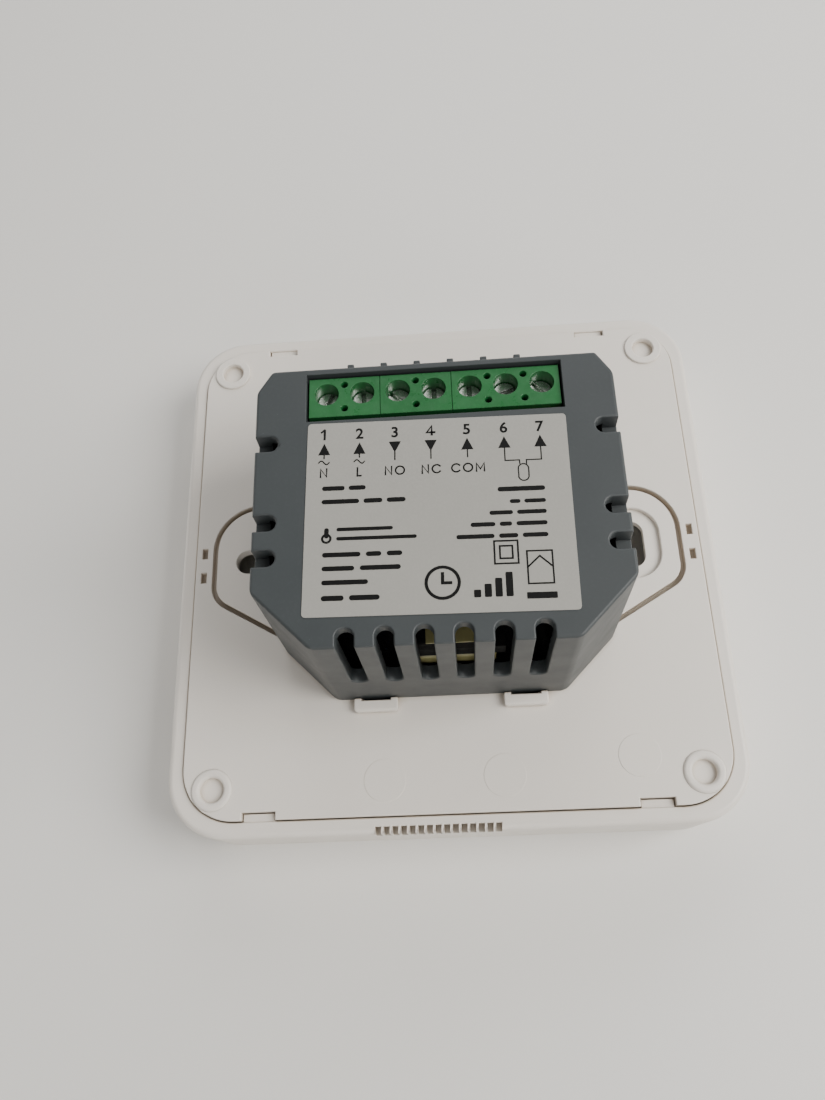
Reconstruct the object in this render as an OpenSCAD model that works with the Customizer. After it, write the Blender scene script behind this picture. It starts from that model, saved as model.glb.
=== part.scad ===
// Wall thermostat: a base with a rear box that sits in a wall box, and a front that clips on.
// Origin: on the wall plane, midway between the two fixing slots.
// +X is right as seen from the room, +Y points into the wall, +Z is up.

/* [Front housing] */
// Width and height of the square front
front_size = 86; // [85.5:0.5:87]
// Corner radius of the front
front_corner = 9; // [8.8:0.1:10]
// Depth of the front, from its rim to its face
front_depth = 13; // [13:0.5:15]
// Gap between the front's rim and the base plate
front_gap = 0.15; // [0.1:0.05:0.3]

/* [Base plate] */
// Width and height of the square base plate
plate_size = 81; // [80.5:0.5:81]
// Corner radius of the base plate
plate_corner = 7.8; // [7.5:0.1:8]
// Distance from the centre to each corner boss, across and up
boss_at = 36; // [35.5:0.1:36]
// Distance between the two fixing slots
fixing_spacing = 60; // [60:0.2:60.6]
// Width of each fixing slot
fixing_width = 4; // [3.8:0.1:4.2]
// End-to-end length of each fixing slot
fixing_length = 7.8; // [6:0.2:7.8]

/* [Rear box] */
// Distance from the wall plane to the box's back
box_depth = 26.5; // [26.5:0.5:28]
// Half of the box's width at its back
box_half = 24.8; // [24.6:0.1:25]
// Height of the box's top wall above the origin
box_top = 18.2; // [18.1:0.1:18.6]
// Distance of the box's bottom wall below the origin
box_low = 22.7; // [22.6:0.1:23]
// Draft of the box's walls in degrees
box_draft = 1.4; // [1:0.1:1.5]
// Width of each vent slot
vent_width = 2.4; // [2:0.1:2.6]
// Height of each side notch
notch_height = 2.25; // [2:0.05:2.4]

/* [Terminals] */
// Number of poles
poles = 7; // [7]
// Distance between neighbouring poles
pitch = 5; // [5]
// Height of the screw row above the origin
screw_z = 14.2; // [14.1:0.1:14.3]
// Radius of each screw well
well_r = 1.7; // [1.7:0.05:1.75]
// Screw thread radius
thread_r = 1.25; // [1.2:0.05:1.25]

/* [Display] */
// Display cell width
display_w = 56; // [50:1:56]
// Display cell height
display_h = 40; // [34:1:40]

/* [Hidden] */

$fn = 64;
cut = 0.1;                                      // how far a cutter runs past a face
reach = 80;                                     // size of the tools that trim the box

// Base levels, along Y
boss_rise = 0.4;                                // corner bosses stand this far off the plate
plate_back = -boss_rise;
plate_front = plate_back - 2;
plate_half = plate_size / 2;
boss_r = 3.1;
boss_core_r = 1.8;
boss_core_depth = 1.1;
peg_r = 2.8;
peg_end = -9;

// Front levels, along Y
rim_y = -1;
face_y = rim_y - front_depth;
front_half = front_size / 2;
lip = 0.9;
glass_gap = 0.1;
glass_thick = 1.7;
tape_thick = 0.2;
ledge_y = face_y + glass_thick + tape_thick;    // front of the wall behind the glass
ledge_back = ledge_y + 1.6;
cavity_half = plate_half + front_gap;
sleeve_bore_r = peg_r + 0.08;
sleeve_r = 4.2;
sleeve_end = -3.2;
board_front = ledge_back + 1.9;                 // control board
board_thick = 1.6;
board_back = board_front + board_thick;
control_half_w = 38;
control_half_h = 31;
control_screw_at = [33, 28];
display_z = 6;
key_count = 5;
key_spacing = 12;
key_z = -26;
key_hole_r = 3.6;
air_slots = 15;                                 // air slots in the bottom edge
air_slot_step = 1.25;
air_slot_last = -6.1;
air_slot_half = 0.43;
air_slot_long = 3.6;

// Latch notches, along the plate's edges
notch_low_x = 28.9;
notch_high_x = 27.1;
latch_width = 5;
latch_deep = 1.15;

// Rear box: each side as [direction in degrees, distance, wall thickness]
chamfer_angle = 32.6;
chamfer_at = 28.9;
corner_cut_at = 28.05;
box_wall = 2;
lip_wall = 1;
box_sides = [
    [0, box_half, box_wall],
    [chamfer_angle, chamfer_at, box_wall],
    [90, box_top, lip_wall],
    [180 - chamfer_angle, chamfer_at, box_wall],
    [180, box_half, box_wall],
    [225, corner_cut_at, box_wall],
    [270, box_low, box_wall],
    [315, corner_cut_at, box_wall]];
box_inside = box_depth - box_wall;
notch_levels = [6.6, -5.2, -10.2];
notch_inner = 21.6;
notch_deep = 3;
vent_count = 6;
vent_spacing = 5;
vent_top = -20.1;
vent_end_y = 9.5;
vent_inner = -19.5;                             // level the slots are cut up to inside the box
rib_width = 1;
rib_top = 23.6;
rib_y = [6, 19];
hook_x = 11.25;
hook_width = 4;
box_post_at = [[20.6, 12.6], [19.6, -12]];
box_post_r = 3.1;
box_post_neck_r = 2.1;
box_screw_r = 1.1;

// Terminal row, along Y
face_t = 25.9;                                  // terminal block faces
block_low = 10.6;
block_high = 16.75;
recess = [17.75, 9.7, 17.2];                    // half width, lowest and highest of the opening
head_top = 23.5;
head_low = 21.5;
head_r = well_r - 0.05;
ledge_low = 20.5;
shank_end = 15.4;
clamp_y = [9, 17.4];
clamp_half = 1.9;
clamp_window = [10, 15.8];
clamp_window_half = 1.35;
cavity_side = 4;
bar_y = [14.2, 15];
bar_half = 1.1;
wire_y = [10, 14.2];
board_y = [6, 7.6];                             // power board

// Rating label
label_w = 35.1;
label_h = 27.8;
label_thick = 0.16;
label_turn = 1.05;
label_x = 0.12;
label_z = -5;

function pole_x(i) = (poles + 1 - 2 * i) / 2 * pitch;

// Where two sides of the box meet, each given as a direction and a distance
function corner(a, b) =
    let (s = sin(b[0] - a[0]))
    [(a[1] * sin(b[0]) - b[1] * sin(a[0])) / s, (b[1] * cos(a[0]) - a[1] * cos(b[0])) / s];

// The box's outline at its back, moved in by its walls times walls, and by gap
function inset_side(s, walls, gap) = [s[0], s[1] - walls * s[2] - gap];
function box_outline(walls, gap) =
    [for (i = [0:7])
        corner(inset_side(box_sides[i], walls, gap), inset_side(box_sides[(i + 1) % 8], walls, gap))];

// An outline drawn in X and Z, extruded from y0 to y1
module slab(y0, y1) {
    translate([0, y1, 0])
        rotate([90, 0, 0])
            linear_extrude(y1 - y0)
                children();
}

// A block between two corners
module block(low, high) {
    translate(low)
        cube(high - low);
}

// A round bar along Y
module bar_along_y(x, z, y0, y1, r) {
    translate([x, y1, z])
        rotate([90, 0, 0])
            cylinder(h = y1 - y0, r = r);
}

module rounded_square(size, r) {
    square([size - 2 * r, size], center = true);
    square([size, size - 2 * r], center = true);
    for (x = [-1, 1], y = [-1, 1])
        translate([x * (size / 2 - r), y * (size / 2 - r)])
            circle(r);
}

module rounded_rectangle(w, h, r) {
    square([w - 2 * r, h], center = true);
    square([w, h - 2 * r], center = true);
    for (x = [-1, 1], y = [-1, 1])
        translate([x * (w / 2 - r), y * (h / 2 - r)])
            circle(r);
}

// A slot outline of full length l and width w, along X, or upright when turned
module slot_outline(l, w) {
    square([l - w, w], center = true);
    for (x = [-1, 1])
        translate([x * (l - w) / 2, 0])
            circle(d = w);
}

module at_corners(x, z) {
    for (sx = [-1, 1], sz = [-1, 1])
        translate([sx * x, 0, sz * z])
            children();
}

module mirrored() {
    children();
    mirror([1, 0, 0])
        children();
}

// ---------- front assembly ----------

module front_housing() {
    color("white") {
        difference() {
            slab(face_y, rim_y)
                rounded_square(front_size, front_corner);
            slab(face_y - cut, ledge_y)
                rounded_square(front_size - 2 * lip, front_corner - lip);
            slab(ledge_back, rim_y + cut)
                rounded_square(2 * cavity_half, plate_corner + front_gap);
            slab(ledge_y - cut, ledge_back + cut)
                translate([0, display_z])
                    square([display_w + 1, display_h + 1], center = true);
            for (i = [0:key_count - 1])
                bar_along_y((i - (key_count - 1) / 2) * key_spacing, key_z,
                    ledge_y - cut, ledge_back + cut, key_hole_r);
            bottom_vents();
        }
        at_corners(boss_at, boss_at)
            difference() {
                bar_along_y(0, 0, ledge_back, sleeve_end, sleeve_r);
                bar_along_y(0, 0, ledge_back + cut, sleeve_end + cut, sleeve_bore_r);
            }
        at_corners(control_screw_at[0], control_screw_at[1])
            difference() {
                bar_along_y(0, 0, ledge_back, board_front, 2.4);
                bar_along_y(0, 0, ledge_back + 0.3, board_front + cut, 1);
            }
        latch_tabs();
    }
}

// A strip of air slots in the bottom edge, open to the rim, the outside and the inside
module bottom_vents() {
    for (i = [0:air_slots - 1])
        translate([air_slot_last + i * air_slot_step, 0, 0]) {
            block([-air_slot_half, rim_y - air_slot_long, -front_half - cut],
                [air_slot_half, rim_y + cut, -front_half + 1.1]);
            block([-air_slot_half, rim_y - air_slot_long, -front_half - cut],
                [air_slot_half, rim_y - 1.2, -cavity_half + cut]);
        }
}

// Tabs that enter the plate's edge notches and line up the front
module latch_tabs() {
    tab_width = latch_width - 2 * front_gap;
    for (side = [[notch_low_x, -1], [notch_high_x, 1]])
        for (sx = [-1, 1])
            translate([sx * side[0], 0, side[1] * cavity_half])
                block([-tab_width / 2, ledge_back, side[1] > 0 ? -latch_deep : -cut],
                    [tab_width / 2, rim_y - 0.3, side[1] > 0 ? cut : latch_deep]);
}

module glass_panel() {
    color("dimgray")
        slab(face_y, face_y + glass_thick)
            rounded_square(front_size - 2 * (lip + glass_gap), front_corner - lip - glass_gap);
}

module glass_tape() {
    color("black")
        slab(face_y + glass_thick, ledge_y)
            difference() {
                rounded_square(front_size - 2 * (lip + 1), front_corner - lip - 1);
                translate([0, display_z])
                    square([display_w + 3, display_h + 3], center = true);
                for (i = [0:key_count - 1])
                    translate([(i - (key_count - 1) / 2) * key_spacing, key_z])
                        circle(key_hole_r);
            }
}

module display_cell() {
    color("darkslategray")
        slab(face_y + glass_thick + 0.1, ledge_y + 1.9)
            translate([0, display_z])
                square([display_w, display_h], center = true);
}

module light_guide() {
    color("ivory")
        slab(ledge_y + 1.9, board_front)
            translate([0, display_z])
                square([display_w, display_h], center = true);
}

module control_board() {
    color("ghostwhite")
        slab(board_front, board_back)
            difference() {
                rounded_rectangle(2 * control_half_w, 2 * control_half_h, 2);
                for (sx = [-1, 1], sz = [-1, 1])
                    translate([sx * control_screw_at[0], sz * control_screw_at[1]])
                        circle(1.1);
            }
}

module control_screws() {
    color("silver")
        at_corners(control_screw_at[0], control_screw_at[1])
            difference() {
                union() {
                    bar_along_y(0, 0, ledge_back + 0.4, board_back + cut, 0.95);
                    bar_along_y(0, 0, board_back, board_back + 1.3, 1.9);
                }
                cross_slot(board_back + 1.3, 0.7, 1.1);
            }
}

// A cross recess in a screw head whose top is at y
module cross_slot(y, deep, half) {
    block([-half, y - deep, -0.25], [half, y + cut, 0.25]);
    block([-0.25, y - deep, -half], [0.25, y + cut, half]);
}

module touch_springs() {
    color("gold")
        for (i = [0:key_count - 1])
            translate([(i - (key_count - 1) / 2) * key_spacing, 0, key_z])
                spring(board_front, face_y + glass_thick, 2.6, 1.8, 0.22, 3);
}

// A coil along Y from y0 to y1, from radius r0 to r1, of wire radius w
module spring(y0, y1, r0, r1, w, turns) {
    steps = 12 * turns;
    sides = 6;
    travel = y1 - y0;
    inset = (travel > 0 ? 1 : -1) * (w + 0.02);
    function ring(k) =
        let (t = k / steps, a = 360 * turns * t, r = r0 + (r1 - r0) * t, y = y0 + inset + (travel - 2 * inset) * t)
        [for (j = [0:sides - 1])
            let (b = 360 / sides * j)
            [(r + w * cos(b)) * cos(a), y + w * sin(b), (r + w * cos(b)) * sin(a)]];
    points = [for (k = [0:steps]) each ring(k)];
    walls = [for (k = [0:steps - 1], j = [0:sides - 1])
        let (n = (j + 1) % sides)
        each [[k * sides + j, k * sides + n, (k + 1) * sides + n],
              [k * sides + j, (k + 1) * sides + n, (k + 1) * sides + j]]];
    caps = [[for (j = [sides - 1:-1:0]) j], [for (j = [0:sides - 1]) steps * sides + j]];
    faces = concat(walls, caps);
    polyhedron(points, travel > 0 ? faces : [for (f = faces) [for (m = [len(f) - 1:-1:0]) f[m]]]);
}

module processor_chip() {
    color("dimgray") {
        block([-20, board_back, 8], [-10, board_back + 1.2, 18]);
        for (i = [0:7], side = [-1, 1])
            translate([-18.9 + i * 1.114, board_back, 13 + side * 5])
                block([-0.2, 0, side > 0 ? 0 : -0.9], [0.2, 0.3, side > 0 ? 0.9 : 0]);
    }
}

module radio_board() {
    color("darkgreen")
        block([9, board_back, -4], [27, board_back + 0.8, 20]);
}

module radio_shield() {
    color("silver")
        block([10, board_back + 0.8, -2.5], [26, board_back + 2.6, 13]);
}

module air_sensor() {
    sensor_x = 2.4;
    lead_y = board_back + 0.35;
    color("black")
        translate([sensor_x, lead_y, -37])
            sphere(1.3);
    color("silver")
        for (dx = [-0.6, 0.6])
            translate([sensor_x + dx, lead_y, -36.3])
                cylinder(h = 8.3, r = 0.25, $fn = 16);
}

module pin_header() {
    color("black")
        block([-5.3, board_back, -6.6], [5.3, board_back + 2.5, -1.4]);
    color("gold")
        for (i = [-1.5:1:1.5], k = [-0.5, 0.5])
            translate([i * 2.54, 0, -4 + k * 2.54])
                block([-0.32, board_back + 2.5, -0.32], [0.32, 0.5, 0.32]);
}

// ---------- base ----------

module base_plate() {
    color("whitesmoke")
        difference() {
            union() {
                slab(plate_front, plate_back)
                    rounded_square(plate_size, plate_corner);
                at_corners(boss_at, boss_at) {
                    bar_along_y(0, 0, plate_back - cut, 0, boss_r);
                    bar_along_y(0, 0, peg_end, plate_front + cut, peg_r);
                }
                hook_pockets();
            }
            at_corners(boss_at, boss_at)
                bar_along_y(0, 0, -boss_core_depth, cut, boss_core_r);
            plate_notches();
            fixing_slots();
            mirrored()
                ear_groove();
            mirrored()
                edge_dimples();
            hook_windows();
            slab(plate_front - cut, plate_back + cut)
                square([30, 24], center = true);
            for (p = box_post_at, sx = [-1, 1])
                bar_along_y(sx * p[0], p[1], plate_front - cut, plate_back + cut, box_screw_r + 0.2);
        }
}

// Notches in the plate's top and bottom edges
module plate_notches() {
    for (side = [[notch_low_x, -1], [notch_high_x, 1]])
        for (sx = [-1, 1])
            translate([sx * side[0], 0, side[1] * plate_half])
                block([-latch_width / 2, plate_front - cut, -latch_deep],
                    [latch_width / 2, plate_back + cut, latch_deep]);
}

// A level slot on the right, and an upright slot in a dished recess on the left
module fixing_slots() {
    dish_deep = 0.8;
    slab(plate_front - cut, plate_back + cut)
        translate([fixing_spacing / 2, 0])
            slot_outline(fixing_length, fixing_width);
    slab(plate_front - cut, plate_back + cut)
        translate([-fixing_spacing / 2, 0])
            rotate(90)
                slot_outline(fixing_length, fixing_width);
    slab(plate_back - dish_deep, plate_back + cut)
        translate([-fixing_spacing / 2, 0])
            rotate(90)
                slot_outline(12, 8.8);
}

// The outline of a fixing ear, grown by e
module ear_outline(e) {
    hull() {
        translate([30, 2.2])
            circle(7.4 + e);
        translate([33.4, -3.9])
            circle(4 + e);
        translate([22, -2.5])
            square([2, 24.2 + 2 * e], center = true);
    }
}

// The narrow groove round a fixing ear
module ear_groove() {
    groove_half = 0.4;
    slab(plate_back - 1.6, plate_back + cut)
        difference() {
            ear_outline(groove_half);
            ear_outline(-groove_half);
            square([44.6, 60], center = true);
        }
}

// Two shallow marks outside each ear
module edge_dimples() {
    for (z = [1.8, -2.4])
        translate([39.15, 0, z])
            block([-0.45, plate_back - 1.1, -0.9], [0.45, plate_back + cut, 0.9]);
}

// A raised rim round each snap hook of the box
module hook_pockets() {
    mirrored()
        difference() {
            block([hook_x - 3.3, plate_back - cut, -25.5], [hook_x + 3.3, 0.9, -23.45]);
            block([hook_x - 2.2, plate_back - 2 * cut, -23.8], [hook_x + 2.2, 1, -23]);
        }
}

// The holes that the box's hooks pass through
module hook_windows() {
    mirrored()
        block([hook_x - 2.2, plate_front - cut, -23.8], [hook_x + 2.2, plate_back + cut, -21.2]);
}

// Trims away what lies past one drafted side of the box
module side_cut(angle, distance) {
    translate([0, box_depth, 0])
        rotate([0, -angle, 0])
            translate([distance, 0, 0])
                rotate([0, 0, box_draft])
                    translate([0, -reach, -reach])
                        cube([reach, 2 * reach, 2 * reach]);
}

// The box's drafted shape between two levels, moved in by its walls times walls
module box_shape(walls, y0, y1) {
    difference() {
        slab(y0, y1)
            square(reach, center = true);
        for (s = box_sides)
            side_cut(s[0], s[1] - walls * s[2]);
    }
}

module rear_box() {
    color("slategray") {
        difference() {
            box_shape(0, plate_back, box_depth);
            box_shape(1, plate_back - cut, box_inside);
            block([-recess[0], box_inside - cut, recess[1]], [recess[0], box_depth + cut, recess[2]]);
            wire_windows();
            mirrored()
                side_notches();
            vent_slots();
        }
        separator_ribs();
        box_posts();
        box_hooks();
    }
}

module wire_windows() {
    for (i = [1:poles])
        translate([pole_x(i), 0, 0])
            block([-2, wire_y[0] - 0.4, recess[2] - 1], [2, wire_y[1] + 0.4, box_top + 2]);
}

// Notches that open at the side and end in a half circle
module side_notches() {
    for (z = notch_levels)
        slab(box_depth - notch_deep, box_depth + cut) {
            translate([notch_inner + notch_height / 2, z])
                circle(d = notch_height);
            translate([notch_inner + notch_height / 2, z - notch_height / 2])
                square([10, notch_height]);
        }
}

// Slots that start on the back and wrap onto the bottom wall
module vent_slots() {
    r = vent_width / 2;
    for (i = [0:vent_count - 1])
        translate([(i - (vent_count - 1) / 2) * vent_spacing, 0, 0]) {
            bar_along_y(0, vent_top - r, box_inside - cut, box_depth + cut, r);
            block([-r, vent_end_y + r, -reach / 2], [r, box_depth + cut, vent_top - r]);
            block([-r, vent_end_y + r, -reach / 2], [r, box_inside, vent_inner]);
            translate([0, vent_end_y + r, -reach / 2])
                cylinder(h = reach / 2 + vent_inner, r = r);
        }
}

module separator_ribs() {
    for (i = [1:poles - 1])
        translate([pole_x(i) - pitch / 2, 0, 0])
            block([-rib_width / 2, rib_y[0], box_top - 0.5], [rib_width / 2, rib_y[1], rib_top]);
}

// Posts that stand on the box's back wall, pass through the power board and take the screws
module box_posts() {
    for (p = box_post_at, sx = [-1, 1])
        difference() {
            union() {
                bar_along_y(sx * p[0], p[1], board_y[1], box_inside + cut, box_post_r - 0.4);
                bar_along_y(sx * p[0], p[1], plate_back, board_y[1] + cut, box_post_neck_r);
            }
            bar_along_y(sx * p[0], p[1], plate_back - cut, 12, box_screw_r + 0.05);
        }
}

// Snap hooks that pass through the plate
module box_hooks() {
    mirrored() {
        block([hook_x - hook_width / 2, plate_front - 1.3, -23.3],
            [hook_x + hook_width / 2, 2, -21.7]);
        block([hook_x - hook_width / 2, plate_front - 1.3, -23.65],
            [hook_x + hook_width / 2, plate_front - 0.15, -23.3]);
    }
}

module rating_label() {
    color("gainsboro")
        translate([label_x, 0, label_z])
            rotate([0, -label_turn, 0])
                slab(box_depth, box_depth + label_thick)
                    rounded_rectangle(label_w, label_h, 0.5);
}

// A block of terminals that holds the poles from first to last
module terminal_block(first, last) {
    side = 0.03;
    color("seagreen")
        difference() {
            block([pole_x(last) - pitch / 2 + side, board_y[1], block_low],
                [pole_x(first) + pitch / 2 - side, face_t, block_high]);
            for (i = [first:last])
                translate([pole_x(i), 0, 0]) {
                    bar_along_y(0, screw_z, head_low, face_t + cut, well_r);
                    bar_along_y(0, screw_z, ledge_low - cut, head_low + cut, thread_r + 0.1);
                    block([-cavity_side / 2, clamp_y[0] - 0.2, screw_z - cavity_side / 2],
                        [cavity_side / 2, ledge_low, screw_z + cavity_side / 2]);
                    block([-1.8, wire_y[0], screw_z], [1.8, wire_y[1], block_high + cut]);
                    block([-bar_half - 0.1, clamp_y[0] - 0.2, block_low + 0.5],
                        [bar_half + 0.1, bar_y[1] + 0.1, screw_z]);
                    block([-0.6, board_y[1] - cut, block_low + 0.5],
                        [0.6, clamp_y[0], block_low + 1.5]);
                }
            for (i = [first:last - 1])
                for (z = [15.65, 11.85])
                    bar_along_y(pole_x(i) - pitch / 2, z, face_t - 3, face_t + cut, 0.5, $fn = 24);
        }
}

module terminal_block_a() { terminal_block(1, 2); }
module terminal_block_b() { terminal_block(3, 4); }
module terminal_block_c() { terminal_block(5, 7); }

// The strip that each wire is clamped to, with the pin that is soldered to the power board
module terminal_contacts() {
    color("tan")
        for (i = [1:poles])
            translate([pole_x(i), 0, 0]) {
                block([-bar_half, bar_y[0], block_low + 0.5], [bar_half, bar_y[1], 15.8]);
                block([-bar_half, clamp_y[0], block_low + 0.5],
                    [bar_half, bar_y[0] + cut, block_low + 1.3]);
                block([-0.5, board_y[0] - 1.2, block_low + 0.5],
                    [0.5, clamp_y[0] + cut, block_low + 1.3]);
            }
}

module terminal_screw(i) {
    slot_turn = [-24, 2, 50, 0, 1, -70, 38][i - 1];
    color("silver")
        translate([pole_x(i), 0, screw_z])
            difference() {
                union() {
                    bar_along_y(0, 0, head_low, head_top, head_r);
                    bar_along_y(0, 0, shank_end, head_low + cut, thread_r);
                }
                rotate([0, slot_turn, 0])
                    block([-0.3, head_top - 0.9, -2], [0.3, head_top + cut, 2]);
            }
}

module wire_clamp(i) {
    color("lightsteelblue")
        translate([pole_x(i), 0, screw_z])
            difference() {
                block([-clamp_half, clamp_y[0], -clamp_half], [clamp_half, clamp_y[1], clamp_half]);
                block([-clamp_window_half, clamp_window[0], -clamp_half - cut],
                    [clamp_window_half, clamp_window[1], clamp_half + cut]);
                bar_along_y(0, 0, clamp_window[1] - cut, clamp_y[1] + cut, thread_r + 0.05);
            }
}

// ---------- inside the box ----------

module power_board() {
    color("dimgray")
        slab(board_y[0], board_y[1])
            difference() {
                polygon(box_outline(1, 0.3));
                for (p = box_post_at, sx = [-1, 1])
                    translate([sx * p[0], p[1]])
                        circle(box_post_neck_r + 0.15);
                for (i = [1:poles])
                    translate([pole_x(i), block_low + 0.9])
                        circle(0.75);
            }
}

module relay() {
    color("darkslateblue")
        block([7, board_y[1], -9.6], [16.4, board_y[1] + 15.3, 9]);
}

// The transformer: its middle, half width and lowest point
transformer_x = -0.7;
transformer_half = 6.2;
transformer_z = -20.5;

module transformer_bobbin() {
    color("black")
        difference() {
            block([transformer_x - 7.4, board_y[1], -20.3], [transformer_x + 7.4, 15.2, -8.3]);
            block([transformer_x - 7.5, board_y[1] + 0.3, -20.4], [transformer_x + 7.5, 11.9, -17.4]);
            block([transformer_x - 7.5, board_y[1] + 0.3, -11], [transformer_x + 7.5, 11.9, -8.2]);
        }
}

module transformer_tape() {
    color("khaki") {
        block([transformer_x - transformer_half, board_y[1] + 0.35, transformer_z],
            [transformer_x + transformer_half, 11.8, -17.4]);
        block([transformer_x - transformer_half, board_y[1] + 0.35, -11],
            [transformer_x + transformer_half, 11.8, -8.1]);
        block([transformer_x - 3.4, 18.2, -20.4], [transformer_x + 3.4, 18.5, -8.2]);
    }
}

module transformer_core() {
    color("dimgray")
        block([transformer_x - 5, 15.2, -20.4], [transformer_x + 5, 18.2, -8.2]);
}

module film_capacitor() {
    color("goldenrod")
        slab(board_y[1], 18.6)
            translate([-11, 5.7])
                rounded_rectangle(13, 5.6, 0.8);
}

module smoothing_capacitors() {
    color("midnightblue") {
        bar_along_y(-14, -2.8, board_y[1], 20.6, 4);
        bar_along_y(-12.6, -12.6, board_y[1], 18.6, 3.15);
    }
}

module varistor() {
    color("royalblue")
        translate([0.8, 12.6, 4])
            cylinder(h = 3.2, r = 4);
    color("silver")
        for (dx = [-2, 2])
            block([0.8 + dx - 0.3, board_y[1], 5.3], [0.8 + dx + 0.3, 9.6, 5.9]);
}

module fuse() {
    color("saddlebrown")
        block([-6.6, board_y[1], -4.6], [1.8, board_y[1] + 4, -0.6]);
}

module power_chips() {
    color("black") {
        block([8, board_y[0] - 1.6, 2], [14, board_y[0], 7]);
        block([-14, board_y[0] - 1.8, -9], [-8, board_y[0], -2]);
    }
}

module board_socket() {
    color("black")
        difference() {
            block([-5.4, plate_front - 0.1, -6.7], [5.4, board_y[0], -1.3]);
            for (i = [-1.5:1:1.5], k = [-0.5, 0.5])
                translate([i * 2.54, 0, -4 + k * 2.54])
                    block([-0.42, plate_front - 0.2, -0.42], [0.42, 3, 0.42]);
        }
}

module box_screws() {
    color("silver")
        for (p = box_post_at, sx = [-1, 1])
            translate([sx * p[0], 0, p[1]])
                difference() {
                    union() {
                        bar_along_y(0, 0, plate_front - 1.4, plate_front, 2.1);
                        bar_along_y(0, 0, plate_front - cut, 9, box_screw_r);
                    }
                    mirror([0, 1, 0])
                        cross_slot(1.4 - plate_front, 0.8, 1.2);
                }
}

front_housing();
glass_panel();
glass_tape();
display_cell();
light_guide();
control_board();
control_screws();
touch_springs();
processor_chip();
radio_board();
radio_shield();
air_sensor();
pin_header();
base_plate();
rear_box();
rating_label();
terminal_block_a();
terminal_block_b();
terminal_block_c();
terminal_contacts();
power_board();
relay();
transformer_core();
transformer_bobbin();
transformer_tape();
film_capacitor();
smoothing_capacitors();
varistor();
fuse();
power_chips();
board_socket();
box_screws();
for (i = [1:poles]) terminal_screw(i);
for (i = [1:poles]) wire_clamp(i);
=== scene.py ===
"""Wall thermostat, seen from behind as it lies face down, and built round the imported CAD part."""

import math

import bmesh
import bpy
from mathutils import Matrix, Vector


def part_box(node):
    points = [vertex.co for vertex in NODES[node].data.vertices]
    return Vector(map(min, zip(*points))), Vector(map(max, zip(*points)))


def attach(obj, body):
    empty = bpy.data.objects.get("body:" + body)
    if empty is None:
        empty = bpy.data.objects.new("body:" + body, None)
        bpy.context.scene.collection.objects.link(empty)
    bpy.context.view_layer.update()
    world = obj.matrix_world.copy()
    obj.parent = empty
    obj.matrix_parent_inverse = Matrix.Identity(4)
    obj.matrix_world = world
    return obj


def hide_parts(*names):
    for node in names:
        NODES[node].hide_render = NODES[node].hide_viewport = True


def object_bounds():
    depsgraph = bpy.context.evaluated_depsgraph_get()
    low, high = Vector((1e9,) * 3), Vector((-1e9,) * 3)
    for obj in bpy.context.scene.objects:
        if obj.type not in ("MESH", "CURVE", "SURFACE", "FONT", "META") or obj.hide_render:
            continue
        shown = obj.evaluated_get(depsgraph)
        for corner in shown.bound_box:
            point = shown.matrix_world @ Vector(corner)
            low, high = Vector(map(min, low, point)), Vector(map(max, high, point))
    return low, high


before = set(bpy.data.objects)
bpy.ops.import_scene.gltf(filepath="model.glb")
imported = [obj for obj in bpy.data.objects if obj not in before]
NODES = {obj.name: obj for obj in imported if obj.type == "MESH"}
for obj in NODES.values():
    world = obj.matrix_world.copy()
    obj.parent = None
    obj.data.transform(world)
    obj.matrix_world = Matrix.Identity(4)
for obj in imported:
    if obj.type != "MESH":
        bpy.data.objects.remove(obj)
CAD_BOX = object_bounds()
MM = 0.001
POLES = 7


def low(node):
    """A CAD node's lowest corner, in millimetres."""
    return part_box(node)[0] / MM


def high(node):
    """A CAD node's highest corner, in millimetres."""
    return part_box(node)[1] / MM


# ---------- camera ----------


def make_camera():
    """The photo's camera, as solved from the corners and slots of the plate."""
    place = Vector((-2.26, 131.93, -52.13)) * MM
    aim = Vector((5.07, 0, 0.44)) * MM
    roll = -0.0315
    ahead = (aim - place).normalized()
    right = ahead.cross(Vector((0, 0, 1))).normalized()
    up = right.cross(ahead)
    across = math.cos(roll) * right + math.sin(roll) * up
    along = -math.sin(roll) * right + math.cos(roll) * up
    turn = Matrix((across, along, -ahead)).transposed().to_4x4()
    data = bpy.data.cameras.new("camera")
    data.sensor_width = 36
    data.lens = 28.9
    data.clip_start = 0.005
    data.clip_end = 20
    camera = bpy.data.objects.new("camera", data)
    bpy.context.scene.collection.objects.link(camera)
    camera.matrix_world = Matrix.Translation(place) @ turn
    bpy.context.scene.camera = camera


# ---------- materials ----------

# The scale at which a texture's detail is 1 mm across, and that at which its bands are 1 mm apart.
DETAIL_SCALE, WAVE_SCALE = 1000, 314.159
NOISE_ROUGHNESS = 0.55
# The colour sockets of a mix node, which share their names with its other kinds.
MIX_FACTOR, MIX_A, MIX_B, MIX_RESULT = 0, 6, 7, 2


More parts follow.
